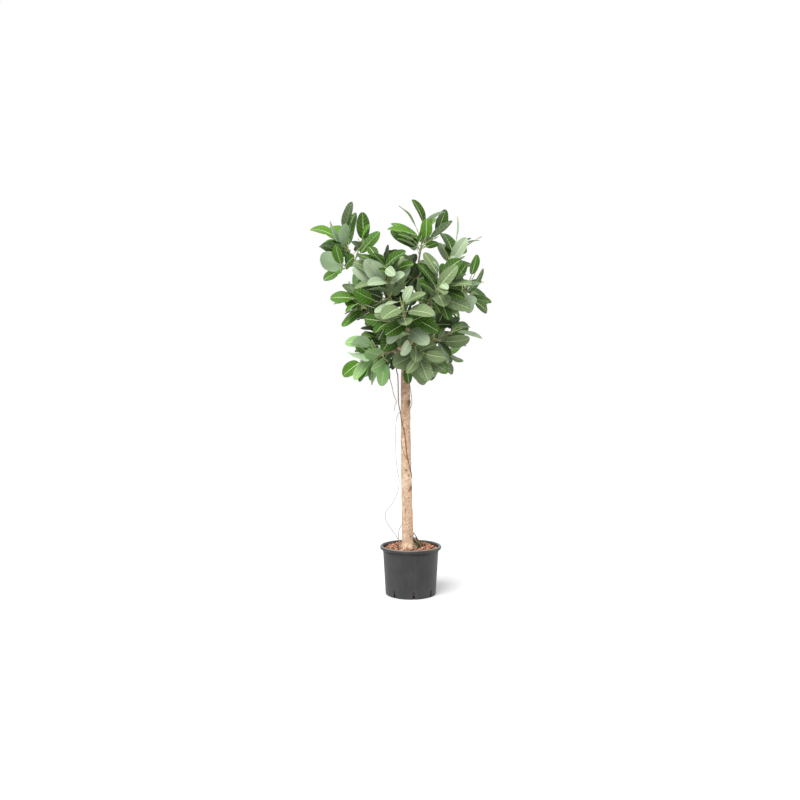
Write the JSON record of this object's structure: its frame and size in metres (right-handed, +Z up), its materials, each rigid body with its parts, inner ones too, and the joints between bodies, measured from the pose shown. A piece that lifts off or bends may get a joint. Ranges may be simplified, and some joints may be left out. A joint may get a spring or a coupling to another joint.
{
  "type": "potted audrey ficus",
  "caption": "Standard ficus tree with a bare stem, a round crown of broad oval leaves and aerial roots, in a round black nursery pot.",
  "frame": {"origin": "centre of the pot's flat underside", "axes": "+Z up along the pot's axis, the front towards -Y"},
  "size_m": [0.8217, 0.7638, 1.7889],
  "materials": {
    "pot_plastic": "satin moulded black plastic",
    "potting_mix": "loose red-brown bark and clay granules",
    "bark": "smooth pale tan bark with scars and specks",
    "aerial_root": "fibrous tan root",
    "leaves": "soft satin leaf with pale veins and a pale underside"
  },
  "bodies": {
    "root": {"pot": "pot_plastic", "potting_mix": "potting_mix", "trunk": "bark", "bough_bottom_front": "bark", "bough_left_low": "bark", "bough_back_right_low": "bark", "bough_back_left_low": "bark", "bough_right_low": "bark", "bough_front": "bark", "bough_back": "bark", "bough_left": "bark", "bough_front_right": "bark", "bough_back_right": "bark", "bough_back_left": "bark", "bough_right": "bark", "bough_front_left": "bark", "bough_right_high": "bark", "bough_upper_left": "bark", "bough_upper_right": "bark", "bough_middle": "bark", "foliage_bottom_front": "leaves", "foliage_left_low": "leaves", "foliage_back_right_low": "leaves", "foliage_back_left_low": "leaves", "foliage_right_low": "leaves", "foliage_front": "leaves", "foliage_back": "leaves", "foliage_left": "leaves", "foliage_front_right": "leaves", "foliage_back_right": "leaves", "foliage_back_left": "leaves", "foliage_right": "leaves", "foliage_front_left": "leaves", "foliage_right_high": "leaves", "foliage_upper_left": "leaves", "foliage_upper_right": "leaves", "foliage_middle": "leaves", "root_hanging": "aerial_root", "root_wrapping": "aerial_root", "root_long": "aerial_root", "root_prop_right": "aerial_root", "root_prop_left": "aerial_root"}
  },
  "joints": []
}
